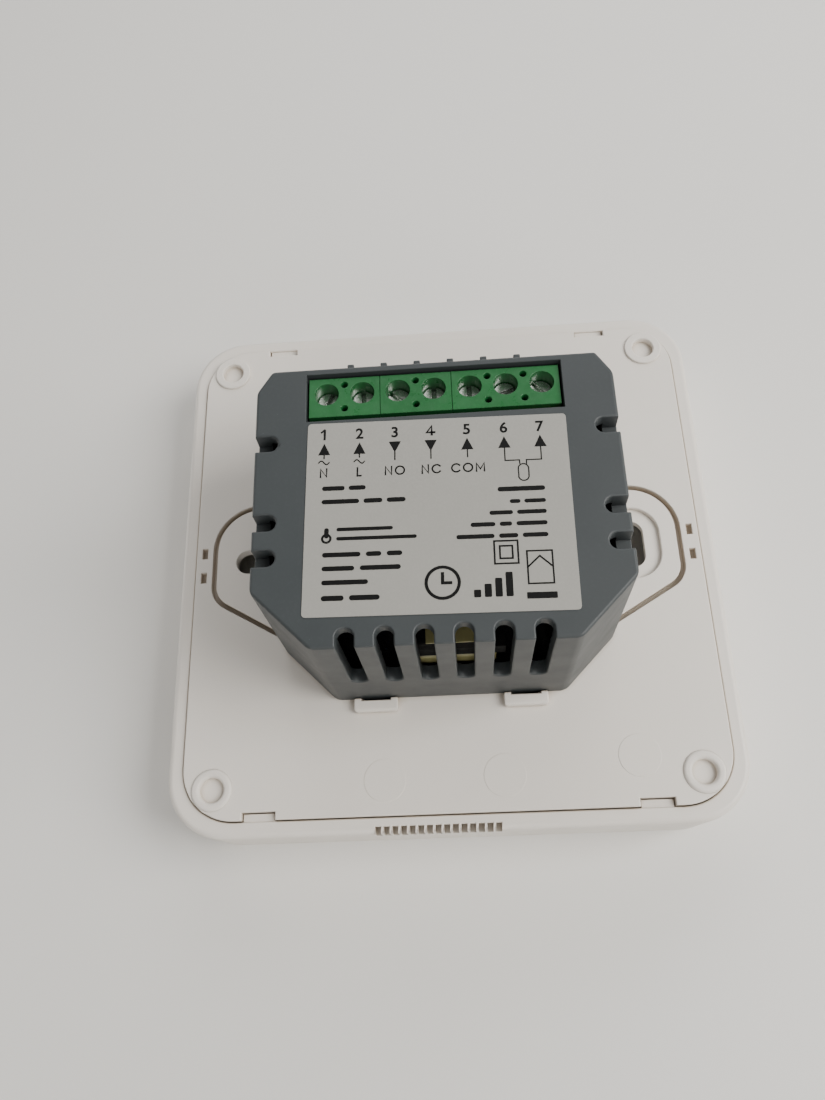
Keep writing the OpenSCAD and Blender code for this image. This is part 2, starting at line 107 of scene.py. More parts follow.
class Surface:
    """A Principled material with helpers for its details. Sizes are in millimetres.

    The helpers that give a value return a socket, and the others return the surface.
    """

    def __init__(self, name, color, rough, metal=0.0, **sockets):
        self.name = name
        self.material = bpy.data.materials.new("look_" + name)
        self.material.use_nodes = True
        self.tree = self.material.node_tree
        self.shader = self.tree.nodes["Principled BSDF"]
        self.color = color
        self.rough = rough
        self.shader.inputs["Base Color"].default_value = (*color, 1)
        self.shader.inputs["Roughness"].default_value = rough
        self.shader.inputs["Metallic"].default_value = metal
        for key, value in sockets.items():
            self.shader.inputs[key.replace("_", " ")].default_value = value
        self.where = self.tree.nodes.new("ShaderNodeTexCoord").outputs["Object"]
        self.shade = None
        self.bumped = None

    def join(self, a, b):
        self.tree.links.new(a, b)

    def stretched(self, scale):
        """The place on the object, scaled by a different factor along each axis."""
        node = self.tree.nodes.new("ShaderNodeMapping")
        node.inputs["Scale"].default_value = scale
        self.join(self.where, node.inputs["Vector"])
        return node.outputs["Vector"]

    def noise(self, size, detail=3.0, scale=None):
        node = self.tree.nodes.new("ShaderNodeTexNoise")
        node.inputs["Scale"].default_value = DETAIL_SCALE / size
        node.inputs["Detail"].default_value = detail
        node.inputs["Roughness"].default_value = NOISE_ROUGHNESS
        self.join(self.stretched(scale) if scale else self.where, node.inputs["Vector"])
        return node.outputs["Fac"]

    def cells(self, size):
        """Low at scattered points and rising away from them."""
        node = self.tree.nodes.new("ShaderNodeTexVoronoi")
        node.inputs["Scale"].default_value = DETAIL_SCALE / size
        self.join(self.where, node.inputs["Vector"])
        return node.outputs["Distance"]

    def waves(self, size, direction, distort, detail=2.0):
        node = self.tree.nodes.new("ShaderNodeTexWave")
        node.bands_direction = direction
        node.inputs["Scale"].default_value = WAVE_SCALE / size
        node.inputs["Distortion"].default_value = distort
        node.inputs["Detail"].default_value = detail
        self.join(self.where, node.inputs["Vector"])
        return node.outputs["Fac"]

    def spread(self, value, lowest, highest, start=0.3, end=0.7):
        """Maps value from the range start to end onto the range lowest to highest."""
        node = self.tree.nodes.new("ShaderNodeMapRange")
        node.inputs["From Min"].default_value = start
        node.inputs["From Max"].default_value = end
        node.inputs["To Min"].default_value = lowest
        node.inputs["To Max"].default_value = highest
        self.join(value, node.inputs["Value"])
        return node.outputs["Result"]

    def tint(self, value, other, start=0.3, end=0.7):
        """Mixes the colour so far with another, where value is high."""
        node = self.tree.nodes.new("ShaderNodeMix")
        node.data_type = "RGBA"
        if self.shade is None:
            node.inputs[MIX_A].default_value = (*self.color, 1)
        else:
            self.join(self.shade, node.inputs[MIX_A])
        node.inputs[MIX_B].default_value = (*other, 1)
        self.join(self.spread(value, 0, 1, start, end), node.inputs[MIX_FACTOR])
        self.shade = node.outputs[MIX_RESULT]
        self.join(self.shade, self.shader.inputs["Base Color"])
        return self

    def paint_crevice_shade(self, reach, other):
        """Painted shade: mixes in other, by ambient occlusion, in corners and gaps narrower than
        reach.
        """
        node = self.tree.nodes.new("ShaderNodeAmbientOcclusion")
        node.samples = 8
        node.inputs["Distance"].default_value = reach * MM
        return self.tint(node.outputs["AO"], other, 0.75, 0.25)

    def vary(self, size, amount, detail=3.0):
        """A soft change of brightness."""
        dark = tuple(c * (1 - amount) for c in self.color)
        return self.tint(self.noise(size, detail), dark)

    def gloss(self, value, amount):
        """Changes roughness by up to amount each way."""
        smoothest = max(0.02, self.rough - amount)
        changed = self.spread(value, smoothest, min(1, self.rough + amount))
        self.join(changed, self.shader.inputs["Roughness"])
        return self

    def bump(self, value, deep):
        """Adds relief, deep millimetres from lowest to highest."""
        node = self.tree.nodes.new("ShaderNodeBump")
        node.inputs["Distance"].default_value = deep * MM
        self.join(value, node.inputs["Height"])
        if self.bumped:
            self.join(self.bumped, node.inputs["Normal"])
        self.bumped = node.outputs["Normal"]
        self.join(self.bumped, self.shader.inputs["Normal"])
        return self


def shaded(color, factor):
    return tuple(min(1.0, c * factor) for c in color)


def make_materials():
    m = {}

    def keep(surface):
        m[surface.name] = surface.material

    white = (0.80, 0.752, 0.69)
    for name, grain, rough in (("shell_white", 0.0035, 0.40), ("plate_white", 0.006, 0.46)):
        s = Surface(name, white, rough, Specular_IOR_Level=0.45)
        s.vary(38, 0.035, 2).tint(s.noise(4.5, 4), shaded(white, 0.965), 0.5, 0.8)
        # Painted shade: a warm brown mixed into the white in grooves, gaps and corners.
        s.tint(s.cells(2.6), shaded(white, 0.80), 0.035, 0.0).paint_crevice_shade(1.6, (0.50, 0.43, 0.35))
        s.gloss(s.noise(9, 4), 0.07).bump(s.noise(0.16, 3), grain).bump(s.noise(14, 1), 0.012)
        keep(s)

    grey = (0.043, 0.050, 0.053)
    s = Surface("grey_plastic", grey, 0.50, Specular_IOR_Level=0.5)
    s.vary(24, 0.06, 2).tint(s.noise(0.5, 3), shaded(grey, 1.09), 0.5, 0.85)
    s.tint(s.cells(3.1), shaded(grey, 1.9), 0.03, 0.0)
    s.gloss(s.noise(5, 3), 0.05).bump(s.noise(0.14, 3), 0.006).bump(s.noise(10, 1), 0.01)
    keep(s)

    film = (0.37, 0.362, 0.335)
    s = Surface("label_film", film, 0.36, 0.15, Coat_Weight=0.12, Coat_Roughness=0.3)
    s.vary(19, 0.045, 2).tint(s.noise(0.35, 2), shaded(film, 1.05), 0.45, 0.8)
    s.gloss(s.noise(1.4, 4), 0.05).bump(s.noise(6, 2), 0.012).bump(s.noise(0.12, 2), 0.002)
    keep(s)

    ink = (0.004, 0.004, 0.004)
    s = Surface("label_ink", ink, 0.5, Specular_IOR_Level=0.2)
    s.tint(s.noise(0.18, 3), (0.010, 0.010, 0.010), 0.55, 0.8).gloss(s.noise(0.9, 2), 0.06)
    s.bump(s.noise(0.1, 2), 0.002)
    keep(s)

    green = (0.016, 0.130, 0.036)
    s = Surface("terminal_green", green, 0.34, Specular_IOR_Level=0.5, Coat_Weight=0.08)
    s.vary(6, 0.16, 3).tint(s.noise(0.3, 3), shaded(green, 1.2), 0.55, 0.85)
    s.gloss(s.noise(1.2, 4), 0.09).bump(s.noise(0.2, 3), 0.006).bump(s.noise(3, 1), 0.01)
    keep(s)

    steel = (0.78, 0.79, 0.77)
    s = Surface("terminal_steel", steel, 0.24, 1.0)
    s.vary(1.1, 0.10, 4).tint(s.noise(0.22, 4), (0.52, 0.52, 0.49), 0.66, 0.85)
    # Painted shade: a near black mixed into the steel in the heads' slots and corners.
    s.paint_crevice_shade(0.25, (0.07, 0.08, 0.07)).gloss(s.noise(0.5, 4), 0.08)
    s.bump(s.noise(0.6, 2, scale=(1, 1, 3)), 0.012)
    keep(s)

    zinc = (0.56, 0.57, 0.58)
    s = Surface("clamp_steel", zinc, 0.33, 1.0)
    s.vary(1.6, 0.18, 4).tint(s.cells(0.5), (0.66, 0.66, 0.62), 0.25, 0.0)
    s.gloss(s.noise(0.6, 4), 0.12).bump(s.noise(0.12, 3, scale=(1, 7, 1)), 0.004)
    keep(s)

    s = Surface("screw_steel", (0.50, 0.50, 0.50), 0.3, 1.0)
    s.vary(1.2, 0.2, 4).gloss(s.noise(0.5, 4), 0.12).bump(s.noise(0.1, 3), 0.004)
    keep(s)

    tin = (0.66, 0.62, 0.50)
    s = Surface("tinned_metal", tin, 0.36, 1.0)
    s.vary(1.5, 0.18, 4).gloss(s.noise(0.7, 4), 0.12).bump(s.noise(0.2, 4), 0.005)
    keep(s)

    shield = (0.62, 0.625, 0.61)
    s = Surface("shield_metal", shield, 0.3, 1.0)
    s.vary(4, 0.12, 4).gloss(s.noise(1.5, 5), 0.1).bump(s.noise(0.25, 3, scale=(8, 1, 1)), 0.003)
    keep(s)

    gold = (0.78, 0.60, 0.28)
    s = Surface("spring_metal", gold, 0.28, 1.0)
    s.vary(0.8, 0.2, 4).gloss(s.noise(0.4, 3), 0.1).bump(s.noise(0.06, 2), 0.003)
    keep(s)

    for name, mask, track in (("board_green", (0.016, 0.115, 0.042), (0.035, 0.21, 0.075)),
                              ("board_white", (0.66, 0.64, 0.59), (0.54, 0.52, 0.47)),
                              ("board_dark", (0.012, 0.012, 0.012), (0.028, 0.027, 0.025))):
        s = Surface(name, mask, 0.32, Coat_Weight=0.25, Coat_Roughness=0.2)
        tracks = s.waves(1.9, "X", 5.5, 1.5)
        s.tint(tracks, track, 0.62, 0.68).vary(7, 0.12, 3)
        if name != "board_dark":
            s.tint(s.cells(1.7), (0.42, 0.40, 0.30), 0.13, 0.11)
        s.bump(tracks, 0.02).bump(s.noise(0.15, 2), 0.004).gloss(s.noise(2.2, 3), 0.08)
        keep(s)

    black = (0.016, 0.016, 0.017)
    s = Surface("chip_black", black, 0.5)
    s.tint(s.noise(0.25, 3), (0.045, 0.045, 0.047), 0.45, 0.8)
    s.gloss(s.noise(1.1, 4), 0.1).bump(s.noise(0.12, 4), 0.006)
    keep(s)

    s = Surface("foam_tape", (0.018, 0.018, 0.02), 0.75)
    s.vary(0.6, 0.4, 3).gloss(s.noise(0.5, 3), 0.1).bump(s.noise(0.2, 4), 0.02)
    keep(s)

    ferrite = (0.008, 0.0075, 0.007)
    s = Surface("ferrite", ferrite, 0.78, Specular_IOR_Level=0.1)
    s.vary(1.4, 0.35, 4).tint(s.noise(0.12, 3), (0.022, 0.021, 0.020), 0.6, 0.85)
    s.gloss(s.noise(0.8, 4), 0.1).bump(s.noise(0.1, 4), 0.012)
    keep(s)

    s = Surface("bobbin_black", (0.007, 0.007, 0.007), 0.7, Specular_IOR_Level=0.15)
    s.tint(s.noise(0.4, 3), (0.014, 0.014, 0.013), 0.45, 0.8)
    s.gloss(s.noise(0.9, 4), 0.1).bump(s.noise(0.15, 3), 0.006)
    keep(s)

    yellow = (0.40, 0.365, 0.16)
    s = Surface("winding_tape", yellow, 0.4, Coat_Weight=0.3, Coat_Roughness=0.2)
    s.tint(s.waves(0.36, "Y", 1.2), shaded(yellow, 0.72), 0.25, 0.8).vary(2.4, 0.2, 3)
    s.gloss(s.noise(1.2, 3), 0.08).bump(s.noise(1.3, 2, scale=(1, 3, 1)), 0.05)
    keep(s)

    blue = (0.022, 0.085, 0.33)
    s = Surface("relay_blue", blue, 0.36)
    s.vary(5, 0.15, 3).tint(s.noise(0.2, 3), shaded(blue, 1.25), 0.55, 0.85)
    s.gloss(s.noise(1.4, 4), 0.08).bump(s.noise(0.2, 3), 0.006)
    keep(s)

    amber = (0.50, 0.27, 0.045)
    s = Surface("capacitor_amber", amber, 0.34)
    s.vary(3.5, 0.16, 3).gloss(s.noise(1.1, 4), 0.08).bump(s.noise(0.25, 3), 0.008)
    keep(s)

    sleeve = (0.014, 0.018, 0.05)
    s = Surface("sleeve_blue", sleeve, 0.25, Coat_Weight=0.35, Coat_Roughness=0.15)
    s.tint(s.waves(3.1, "X", 0.4), (0.10, 0.11, 0.15), 0.9, 0.94).vary(3, 0.2, 3)
    s.gloss(s.noise(1.0, 3), 0.08).bump(s.noise(1.2, 3), 0.02)
    keep(s)

    s = Surface("varistor_blue", (0.03, 0.10, 0.34), 0.3, Coat_Weight=0.4, Coat_Roughness=0.1)
    s.vary(2, 0.2, 3).gloss(s.noise(0.9, 3), 0.07).bump(s.noise(0.9, 3), 0.04)
    keep(s)

    s = Surface("fuse_brown", (0.10, 0.045, 0.02), 0.45)
    s.vary(2, 0.25, 3).gloss(s.noise(0.9, 4), 0.1).bump(s.noise(0.15, 3), 0.007)
    keep(s)

    deep = (0.0045, 0.0047, 0.0055)
    s = Surface("front_glass", deep, 0.055, Coat_Weight=0.25, Coat_Roughness=0.03)
    s.vary(30, 0.25, 2).gloss(s.noise(16, 5), 0.03).bump(s.noise(30, 1), 0.003)
    s.tint(s.cells(4.2), (0.05, 0.05, 0.05), 0.016, 0.0)
    keep(s)

    s = Surface("glass_ink", (0.30, 0.31, 0.315), 0.3)
    s.vary(0.6, 0.12, 3).gloss(s.noise(0.8, 3), 0.05).bump(s.noise(0.1, 2), 0.002)
    keep(s)

    s = Surface("display_dark", (0.012, 0.014, 0.018), 0.16, Coat_Weight=0.4)
    s.vary(12, 0.3, 3).gloss(s.noise(5, 3), 0.05).bump(s.noise(0.3, 2), 0.002)
    keep(s)

    guide = (0.70, 0.72, 0.70)
    s = Surface("guide_clear", guide, 0.22, Transmission_Weight=0.35)
    s.vary(8, 0.08, 3).gloss(s.noise(2, 3), 0.06).bump(s.cells(0.7), 0.01)
    keep(s)

    return m


# ---------- geometry ----------

# How near corners are welded and how short edges are dropped, in metres, and how flat a turn
# between two faces merges them.
WELD, SHORT, FLAT = 2e-6, 4e-5, math.radians(0.6)
# Edges whose faces turn less than this aren't rounded.
LEAST_TURN = math.radians(25)
# The turn from which an edge is shaded as sharp, on a plain piece and on a rounded one.
SHARP_PLAIN, SHARP_ROUNDED = math.radians(30), math.radians(50)


def add_object(name, bm, material):
    """An object made from bm, which is used up."""
    mesh = bpy.data.meshes.new(name)
    bm.normal_update()
    bm.to_mesh(mesh)
    bm.free()
    made = bpy.data.objects.new(name, mesh)
    bpy.context.scene.collection.objects.link(made)
    mesh.materials.append(material)
    mesh.shade_smooth()
    mesh.set_sharp_from_angle(angle=SHARP_PLAIN)
    return made


def circle_points(x, z, r, count):
    turn = 2 * math.pi / count
    return [(x + r * math.cos(i * turn), z + r * math.sin(i * turn)) for i in range(count)]


def outline(bm, points, y0, y1):
    """A closed solid whose outline is given in X and Z, between two levels along Y."""
    rings = [[bm.verts.new((x * MM, y * MM, z * MM)) for x, z in points] for y in (y0, y1)]
    n = len(points)
    faces = [bm.faces.new(rings[0]), bm.faces.new(rings[1][::-1])]
    for i in range(n):
        j = (i + 1) % n
        faces.append(bm.faces.new((rings[0][j], rings[0][i], rings[1][i], rings[1][j])))
    bmesh.ops.recalc_face_normals(bm, faces=faces)


def box_points(x0, z0, x1, z1):
    return [(x0, z0), (x1, z0), (x1, z1), (x0, z1)]


def rounded_box_points(x0, z0, x1, z1, r, steps):
    """A rectangle's outline, each corner an arc in this many steps."""
    corners = ((x1 - r, z1 - r, 0), (x0 + r, z1 - r, 90), (x0 + r, z0 + r, 180),
               (x1 - r, z0 + r, 270))
    points = []
    for x, z, first in corners:
        for k in range(steps + 1):
            turn = math.radians(first + 90 / steps * k)
            points.append((x + r * math.cos(turn), z + r * math.sin(turn)))
    return points


def clean_copy(node):
    """The node's mesh with its corners welded and its flat faces merged."""
    bm = bmesh.new()
    for v in NODES[node].data.vertices:
        bm.verts.new(v.co)
    bm.verts.ensure_lookup_table()
    for p in NODES[node].data.polygons:
        bm.faces.new([bm.verts[i] for i in p.vertices])
    bmesh.ops.remove_doubles(bm, verts=bm.verts, dist=WELD)
    bmesh.ops.recalc_face_normals(bm, faces=bm.faces)
    bmesh.ops.dissolve_limit(bm, angle_limit=FLAT, verts=bm.verts, edges=bm.edges)
    bmesh.ops.dissolve_degenerate(bm, dist=SHORT, edges=bm.edges)
    return bm


def rounded(name, bm, material, radius, segments=3, slide=True):
    """An object from bm whose convex edges are rounded.

    radius(middle, along, normals) gives an edge's radius from its middle, its direction and the
    normals of its two faces. It is in millimetres, and 0 leaves the edge as it is. slide lets the
    new corners follow the edges beside them.
    """
    layer = bm.edges.layers.float.new("bevel_weight_edge")
    wanted = {}
    for e in bm.edges:
        if len(e.link_faces) != 2 or not e.is_convex:
            continue
        if e.calc_face_angle(0) < LEAST_TURN:
            continue
        a, b = e.verts[0].co / MM, e.verts[1].co / MM
        r = radius((a + b) / 2, (b - a).normalized(), [f.normal for f in e.link_faces])
        if r:
            wanted[e] = r
    largest = max(wanted.values(), default=0)
    for e, r in wanted.items():
        e[layer] = r / largest
    made = add_object(name, bm, material)
    if not largest:
        return made
    made.data.set_sharp_from_angle(angle=math.pi)
    bevel = made.modifiers.new("bevel", "BEVEL")
    bevel.width = largest * MM
    bevel.limit_method = "WEIGHT"
    bevel.segments = segments
    bevel.use_clamp_overlap = False
    bevel.harden_normals = False
    bevel.loop_slide = slide
    apply_modifiers(made)
    made.data.shade_smooth()
    made.data.set_sharp_from_angle(angle=SHARP_ROUNDED)
    weighted = made.modifiers.new("shading", "WEIGHTED_NORMAL")
    weighted.keep_sharp = True
    weighted.weight = 80
    apply_modifiers(made)
    return made


def evaluated_mesh(made):
    bpy.context.view_layer.update()
    graph = bpy.context.evaluated_depsgraph_get()
    return bpy.data.meshes.new_from_object(made.evaluated_get(graph))


def apply_modifiers(made):
    mesh = evaluated_mesh(made)
    made.modifiers.clear()
    made.data = mesh


def stands_for(made, body, node):
    """Puts a rebuilt piece on its body in place of a CAD node."""
    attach(made, body)
    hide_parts(node)


def detail(made, body, slot):
    """Puts a piece that replaces nothing on its body."""
    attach(made, body)


def paint(node, material):
    """Gives a CAD node a material. Its mesh stays as it is."""
    mesh = NODES[node].data
    mesh.materials.clear()
    mesh.materials.append(material)


# ---------- white parts ----------


def near(a, b, within=0.01):
    return abs(a - b) < within


def past_square(at, half, start, reach):
    """Whether a point is at the edge of a square with round corners.

    half is the distance of its sides from the middle, and start that of its corners' centres,
    from which the corners reach this far.
    """
    x, z = abs(at.x), abs(at.z)
    return max(x, z) > half or math.hypot(max(0, x - start), max(0, z - start)) > reach


def make_housing(m):
    side, front, rim = high("front_housing").x, low("front_housing").y, high("front_housing").y
    corner = 9
    bottom_wall = -40.65
    vents_middle, vents_half = 2.5, 9.5

    def radius(at, along, normals):
        if past_square(at, side - 0.05, side - corner, corner - 0.1):
            return 0.95 if near(at.y, rim) else 0.42 if near(at.y, front) else 0.08
        # Rounding the inside of the bottom wall would make the vent slots' corners cross.
        if near(at.z, bottom_wall, 0.02) and at.y < rim - 0.01:
            return 0
        if near(at.y, rim):
            in_vents = at.z < -41 and near(at.x, vents_middle, vents_half)
            return 0.1 if in_vents else 0.28
        return 0.12 if near(at.y, front) else 0.1

    made = rounded("housing_shell", clean_copy("front_housing"), m["shell_white"], radius, 4)
    stands_for(made, "front", "front_housing")


def make_plate(m):
    back = -0.4
    edge, corner_start, corner_reach = 39.2, 32.7, 7.6
    corner_from = 36.4
    dish_x, dish_half_w, dish_half_h = -30, 4.6, 6.2
    hooks_below = -25.3
    disc_radius, disc_sunk, disc_proud = 3.1, 0.2, 0.06

    def radius(at, along, normals):
        if near(at.y, back):
            if past_square(at, edge, corner_start, corner_reach):
                return 0 if min(abs(at.x), abs(at.z)) > corner_from else 0.2
            in_dish = near(at.x, dish_x, dish_half_w) and abs(at.z) < dish_half_h
            return 0.2 if in_dish else 0.12
        if at.y > -0.1:
            return 0.5 if at.z < hooks_below else 0.22
        return 0.08

    made = rounded("plate_body", clean_copy("base_plate"), m["plate_white"], radius)
    stands_for(made, "base", "base_plate")
    bm = bmesh.new()
    for x, z in ((10.2, -35.5), (-7.4, -35.4), (-27.1, -33.3), (8.6, 31.8), (-8.8, 31.8)):
        outline(bm, circle_points(x, z, disc_radius, 40), back - disc_sunk, back + disc_proud)
    discs = rounded("plate_ejector_marks", bm, m["plate_white"], lambda *_: 0.04, 2)
    detail(discs, "base", "plate")


# ---------- grey box ----------

# Each side of the box's outline at its back: the way it faces, in degrees, and its distance.
BOX_SIDES = ((0, 24.8), (32.6, 28.9), (90, 18.2), (147.4, 28.9), (180, 24.8), (225, 28.05),
             (270, 22.7), (315, 28.05))
BOX_DRAFT = math.tan(math.radians(1.4))


def past_outline(at, back):
    """How far a point is outside the box's drafted outline. It is below 0 inside."""
    grow = (back - at.y) * BOX_DRAFT
    return max(
        at.x * math.cos(math.radians(a)) + at.z * math.sin(math.radians(a)) - distance - grow
        for a, distance in BOX_SIDES)


def make_box(m):
    back = high("rear_box").y
    wall = 1.9
    terminals_above = 17.6
    vents_low, vents_from, vents_half = -20, 8, 14.6
    opening_half, opening_low, opening_high = 17.75, 9.7, 17.2
    ribs_above = 18.5
    inward = 0.03

    def radius(at, along, normals):
        outer = past_outline(at, back) > -0.06
        at_back = near(at.y, back, 0.02)
        if not outer and 0 < at.y < back - wall and at.z < terminals_above:
            return 0
        in_vents = at.z < vents_low and at.y > vents_from
        if in_vents and abs(at.x) < vents_half:
            return 0.25
        if outer and abs(along.y) > 0.9:
            corner = all(past_outline(at - inward * n, back) < 0 for n in normals)
            blunt = normals[0].angle(normals[1], 0) < math.radians(75)
            return 0.7 if corner and blunt else 0.16
        if outer and at_back and sum(abs(n.y) < 0.2 for n in normals) == 1:
            return 0.45
        if at_back:
            at_opening = (near(abs(at.x), opening_half, 0.1) or near(at.z, opening_low, 0.1)
                          or near(at.z, opening_high, 0.1))
            return 0.12 if at_opening else 0.3
        if at.z > ribs_above:
            return 0.2
        if outer and in_vents:
            return 0.3
        return 0 if outer and at.y < 0 else 0.1

    made = rounded("box_shell", clean_copy("rear_box"), m["grey_plastic"], radius)
    stands_for(made, "base", "rear_box")


# ---------- label ----------

# How tall the font's capitals are, as a share of its size.
CAPITAL_SHARE = 0.73
# A stroke's corners are cut short where they would reach further than its half width over this.
MITRE_LIMIT = 0.7
# The plain letters, as shares of their height: widths, the gap between two, and their strokes.
WIDTHS = {"N": 0.74, "L": 0.5, "O": 1.0, "C": 0.9, "M": 0.9, "4": 0.84}
GAP = 0.22
PATHS = {"N": ((0, 0), (0, 1), (1, 0), (1, 1)),
         "L": ((0, 1), (0, 0), (1, 0)),
         "M": ((0, 0), (0, 1), (0.5, 0.25), (1, 1), (1, 0)),
         "4": ((1, 0.25), (0, 0.25), (0.66, 1), (0.66, 0))}
ARCS = {"O": (0, 360), "C": (42, 318)}


class Print:
    """Flat marks round a centre, turned by some degrees, between two levels along Y.

    u runs to the right as seen from behind and v runs up, in millimetres from the centre.
    """

    def __init__(self, x, z, turn, y0, y1):
        self.bm = bmesh.new()
        self.x, self.z, self.turn = x, z, math.radians(turn)
        self.y0, self.y1 = y0, y1
        self.count = 0

    def top(self):
        """The level of the next stroke's top, so that no two overlap in one plane."""
        return self.y1 + 0.001 * (self.count % 7)

    def place(self, u, v):
        """The X and Z of a point."""
        x, z = -u, v
        c, s = math.cos(self.turn), math.sin(self.turn)
        return self.x + x * c - z * s, self.z + x * s + z * c

    def vert(self, point, y):
        x, z = self.place(*point)
        return self.bm.verts.new((x * MM, y * MM, z * MM))

    def shape(self, points):
        outline(self.bm, [self.place(u, v) for u, v in points], self.y0, self.top())
        self.count += 1

    def bar(self, u0, v0, u1, v1, r=0.0):
        """A rectangle, its corners rounded by up to r."""
        if not r:
            self.shape(box_points(u0, v0, u1, v1))
            return
        r = min(r, (u1 - u0) / 2 - 0.001, (v1 - v0) / 2 - 0.001)
        self.shape(rounded_box_points(u0, v0, u1, v1, r, 4))

    def line(self, points, width, closed=False):
        """A stroke of even width through points, as one solid."""
        points = [Vector(p) for p in points]
        n = len(points)
        ends = []
        for i, p in enumerate(points):
            a = p - points[i - 1] if i or closed else points[1] - p
            b = points[(i + 1) % n] - p if i < n - 1 or closed else a
            a, b = a.normalized(), b.normalized()
            if not closed and i in (0, n - 1):
                p = p + a * (width / 2 if i else -width / 2)
            side = Vector((-a.y - b.y, a.x + b.x)).normalized()
            side *= width / 2 / max(MITRE_LIMIT, side.dot(Vector((-a.y, a.x))))
            left, right, top = p + side, p - side, self.top()
            ends.append([self.vert(q, y) for q, y in (
                (left, self.y0), (right, self.y0), (right, top), (left, top))])
        for i in range(n if closed else n - 1):
            here, there = ends[i], ends[(i + 1) % n]
            for k in range(4):
                self.bm.faces.new((here[k], here[(k + 1) % 4], there[(k + 1) % 4], there[k]))
        if not closed:
            self.bm.faces.new(ends[0])
            self.bm.faces.new(ends[-1][::-1])
        self.count += 1

    def ring(self, u, v, r, width, start=0, end=360, steps=28):
        """A ring round a point, or the part of it from start to end in degrees."""
        whole = end - start == 360
        points = []
        for k in range(steps if whole else steps + 1):
            t = math.radians(start + (end - start) * k / steps)
            points.append((u + r * math.cos(t), v + r * math.sin(t)))
        self.line(points, width, whole)

    def letters(self, text, u, v, tall, bold=0.0):
        """Characters of the given height, centred on a point."""
        curve = bpy.data.curves.new("letters", "FONT")
        curve.body = text
        curve.align_x = "CENTER"
        curve.size = tall / CAPITAL_SHARE
        curve.extrude = 0.5
        curve.offset = bold
        curve.resolution_u = 5
        holder = bpy.data.objects.new("letters", curve)
        bpy.context.scene.collection.objects.link(holder)
        mesh = evaluated_mesh(holder)
        bpy.data.objects.remove(holder)
        verts = []
        for p in mesh.vertices:
            x, z = self.place(u + p.co.x, v - tall / 2 + p.co.y)
            y = self.y1 if p.co.z > 0 else self.y0
            verts.append(self.bm.verts.new((x * MM, y * MM, z * MM)))
        for p in mesh.polygons:
            corners = [verts[i] for i in reversed(p.vertices)]
            if len(set(corners)) > 2:
                self.bm.faces.new(corners)
        bpy.data.meshes.remove(mesh)

    def capitals(self, word, u, v, tall, stroke):
        """A word in plain strokes, centred on a point."""
        u -= tall * (sum(WIDTHS[c] for c in word) + GAP * (len(word) - 1)) / 2
        inner = tall - stroke
        for c in word:
            if c in ARCS:
                self.ring(u + tall / 2, v, inner / 2, stroke, *ARCS[c], 24)
            else:
                side = u + stroke / 2
                across = WIDTHS[c] * tall - stroke
                self.line([(side + a * across, v + (b - 0.5) * inner) for a, b in PATHS[c]], stroke)
            u += (WIDTHS[c] + GAP) * tall

    def done(self, name, material):
        bmesh.ops.remove_doubles(self.bm, verts=self.bm.verts, dist=1e-7)
        bmesh.ops.recalc_face_normals(self.bm, faces=self.bm.faces)
        return add_object(name, self.bm, material)


def make_label(m):
    lo, hi = low("rating_label"), high("rating_label")
    middle = (lo + hi) / 2
    half_w, half_h, turn = 17.55, 13.9, 1.05
    film = Print(middle.x, middle.z, turn, lo.y, lo.y + 0.11)
    film.bar(-half_w, -half_h, half_w, half_h, 0.5)
    made = rounded("label_film", film.bm, m["label_film"], lambda *_: 0.03, 2)
    stands_for(made, "base", "rating_label")

    ink = Print(middle.x, middle.z, turn, lo.y + 0.105, lo.y + 0.125)
    terminal_signs(ink)
    plain_lines(ink)
    detail(ink.done("label_ink", m["label_ink"]), "base", "label")


def terminal_signs(ink):
    """For each terminal its number and arrow, and what it is for."""
    columns = (-15.2, -10.4, -5.6, -0.75, 4.15, 9.1, 13.9)
    points_down = (2, 3)
    numbers, words = 12.15, 6.3
    thin = 0.17
    for i, u in enumerate(columns):
        if i == 3:
            ink.capitals("4", u, numbers, 1.62, 0.33)
        else:
            ink.letters(str(i + 1), u, numbers, 1.6, 0.05)

    half, top, tall = 0.82, 10.75, 1.75
    tails = (8.5, 8.5, 7.9, 7.9, 7.9, 7.1, 7.1)
    for i, (u, tail) in enumerate(zip(columns, tails)):
        if i in points_down:
            ink.shape([(u - half, top - 0.1), (u, top - tall), (u + half, top - 0.1)])
        else:
            ink.shape([(u - half, top - tall), (u + half, top - tall), (u, top)])
        ink.line([(u, top - tall + 0.05), (u, tail)], thin)
    one = columns[0]
    ink.line([(one - 0.42, 12.5), (one - 0.02, 12.85)], 0.26)

    level, rise = 7.85, 0.28
    for u in columns[:2]:
        wave = [(u - 0.7 + 0.14 * k, level + rise * math.sin(k * math.pi / 5)) for k in range(11)]
        ink.line(wave, thin)
    for u, word in zip(columns, ("N", "L", "NO", "NC", "COM")):
        ink.capitals(word, u, words, 1.4, 0.22)

    middle = (columns[5] + columns[6]) / 2 - 0.05
    lead, bend, end = 0.45, 7.1, 6.6
    for u, side in ((columns[5], -lead), (columns[6], lead)):
        ink.line([(u, bend), (middle + side, bend), (middle + side, end)], thin)
    r, upper, lower = 0.68, 5.85, 4.75
    bulb = []
    for k in range(25):
        t = math.radians(15 * k)
        bulb.append((middle + r * math.cos(t), (upper if k <= 12 else lower) + r * math.sin(t)))
    ink.line(bulb, thin, True)


